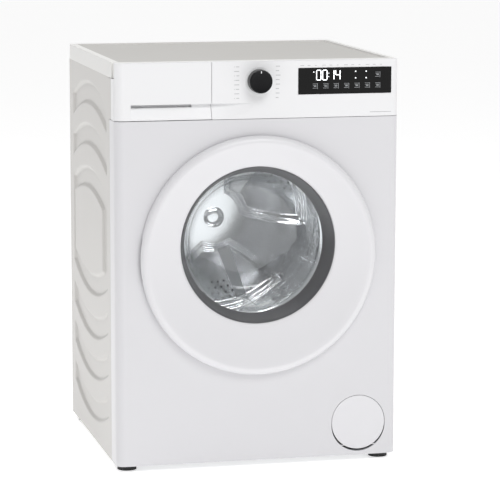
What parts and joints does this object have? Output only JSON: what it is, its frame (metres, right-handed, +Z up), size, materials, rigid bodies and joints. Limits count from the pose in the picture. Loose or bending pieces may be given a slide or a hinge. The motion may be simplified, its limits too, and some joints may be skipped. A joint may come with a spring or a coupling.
{
  "type": "front load washing machine",
  "caption": "free-standing front load washing machine with round glass door, detergent drawer, program knob, display panel, suspended tub and belt-driven drum",
  "frame": {"origin": "on the floor under the middle of the machine's whole box, knob and door included", "axes": "+Z up, -Y is the front with the door, +X is to the right seen from the front"},
  "size_m": [0.6, 0.585, 0.85],
  "materials": {
    "cabinet_white": "satin",
    "side_white": "satin",
    "galvanised": "satin",
    "stainless": "polished",
    "steel": "satin",
    "white_plastic": "satin",
    "worktop_plastic": "matte",
    "worktop_laminate": "matte",
    "door_white": "satin",
    "trim_grey": "satin",
    "clear_glass": "polished",
    "black_glass": "gloss",
    "knob_black": "gloss",
    "tub_plastic": "matte",
    "grey_plastic": "matte",
    "blue_plastic": "satin",
    "board_green": "satin",
    "gasket_rubber": "matte",
    "black_rubber": "matte",
    "concrete": "matte",
    "cast_aluminium": "satin",
    "motor_black": "satin"
  },
  "bodies": {
    "cabinet": {"side_panel_left": "side_white", "side_panel_right": "side_white", "front_panel": "cabinet_white", "rear_panel": "galvanised", "rear_cover": "galvanised", "base_pan": "grey_plastic", "top_frame": "galvanised", "worktop_frame": "worktop_plastic", "worktop_board": "worktop_laminate", "fascia": "white_plastic", "display_glass": "black_glass", "control_board": "board_green", "dispenser_housing": "grey_plastic", "hinge_bracket": "steel", "door_lock": "grey_plastic", "inlet_valve": "white_plastic", "pump_housing": "grey_plastic", "damper_cylinders": "grey_plastic", "cable_gland": "black_rubber", "drain_outlet": "grey_plastic", "transit_caps": "white_plastic", "cabinet_screws": "steel"},
    "door": {"door_ring": "door_white", "door_trim": "trim_grey", "door_glass": "clear_glass", "door_inner_frame": "grey_plastic", "door_hinge_arm": "steel", "door_latch_hook": "steel", "door_screws": "steel"},
    "tub": {"tub_rear": "tub_plastic", "tub_front": "tub_plastic", "tub_bolts": "steel", "drum_bearings": "steel", "door_gasket": "gasket_rubber", "counterweight_top": "concrete", "counterweight_front": "concrete", "heater": "stainless", "motor_body": "motor_black", "suspension_springs": "steel", "damper_rods": "steel", "drive_belt": "black_rubber", "tub_hoses": "black_rubber"},
    "drum": {"drum_shell": "stainless", "drum_back": "stainless", "drum_lifters": "grey_plastic", "drum_spider": "cast_aluminium", "drum_shaft": "steel", "drum_pulley": "cast_aluminium"},
    "motor_rotor": {"motor_rotor": "steel"},
    "drawer": {"drawer_front": "white_plastic", "drawer_tray": "white_plastic", "siphon_cap": "blue_plastic"},
    "program_knob": {"program_knob": "knob_black"},
    "filter_cover": {"filter_cover": "door_white"},
    "drain_filter": {"drain_filter": "grey_plastic"},
    "pump_impeller": {"pump_impeller": "white_plastic"},
    "foot_front_left": {"foot_front_left": "black_rubber"},
    "foot_front_right": {"foot_front_right": "black_rubber"},
    "foot_rear_left": {"foot_rear_left": "black_rubber"},
    "foot_rear_right": {"foot_rear_right": "black_rubber"}
  },
  "joints": [
    {"name": "door_hinge", "type": "hinge", "parent": "cabinet", "child": "door", "pos_m": [-0.24, -0.279, 0.4473], "axis": [0, 0, -1], "range_deg": [0, 140]},
    {"name": "tub_suspension", "type": "slide", "parent": "cabinet", "child": "tub", "axis": [0, 0, 1], "range_m": [-0.01, 0.01], "stiffness_N_per_m": 12000, "springref_m": 0.0334, "deforming": ["suspension_springs", "door_gasket", "tub_hoses"]},
    {"name": "drum_spin", "type": "hinge", "parent": "tub", "child": "drum", "pos_m": [0, 0.0315, 0.468], "axis": [0, -1, 0], "continuous": true},
    {"name": "motor_spin", "type": "hinge", "parent": "tub", "child": "motor_rotor", "pos_m": [0.07, 0.1315, 0.12], "axis": [0, -1, 0], "continuous": true},
    {"name": "drawer_slide", "type": "slide", "parent": "cabinet", "child": "drawer", "axis": [0, -1, 0], "range_m": [0, 0.2]},
    {"name": "program_select", "type": "hinge", "parent": "cabinet", "child": "program_knob", "pos_m": [0, -0.2685, 0.809], "axis": [0, -1, 0], "continuous": true},
    {"name": "filter_cover_hinge", "type": "hinge", "parent": "cabinet", "child": "filter_cover", "pos_m": [0.2173, -0.2661, 0.034], "axis": [1, 0, 0], "range_deg": [0, 95]},
    {"name": "filter_turn", "type": "hinge", "parent": "cabinet", "child": "drain_filter", "pos_m": [0.2173, -0.2185, 0.0832], "axis": [0, 1, 0], "range_deg": [0, 180]},
    {"name": "impeller_spin", "type": "hinge", "parent": "cabinet", "child": "pump_impeller", "pos_m": [0.2173, -0.1485, 0.0832], "axis": [0, -1, 0], "continuous": true},
    {"name": "foot_front_left_turn", "type": "hinge", "parent": "cabinet", "child": "foot_front_left", "pos_m": [-0.272, -0.2285, 0.02], "axis": [0, 0, 1], "continuous": true},
    {"name": "foot_front_right_turn", "type": "hinge", "parent": "cabinet", "child": "foot_front_right", "pos_m": [0.272, -0.2285, 0.02], "axis": [0, 0, 1], "continuous": true},
    {"name": "foot_rear_left_turn", "type": "hinge", "parent": "cabinet", "child": "foot_rear_left", "pos_m": [-0.272, 0.2515, 0.02], "axis": [0, 0, 1], "continuous": true},
    {"name": "foot_rear_right_turn", "type": "hinge", "parent": "cabinet", "child": "foot_rear_right", "pos_m": [0.272, 0.2515, 0.02], "axis": [0, 0, 1], "continuous": true}
  ],
  "couplings": [
    {"joint": "motor_spin", "follows": "drum_spin", "ratio": 13.333}
  ]
}
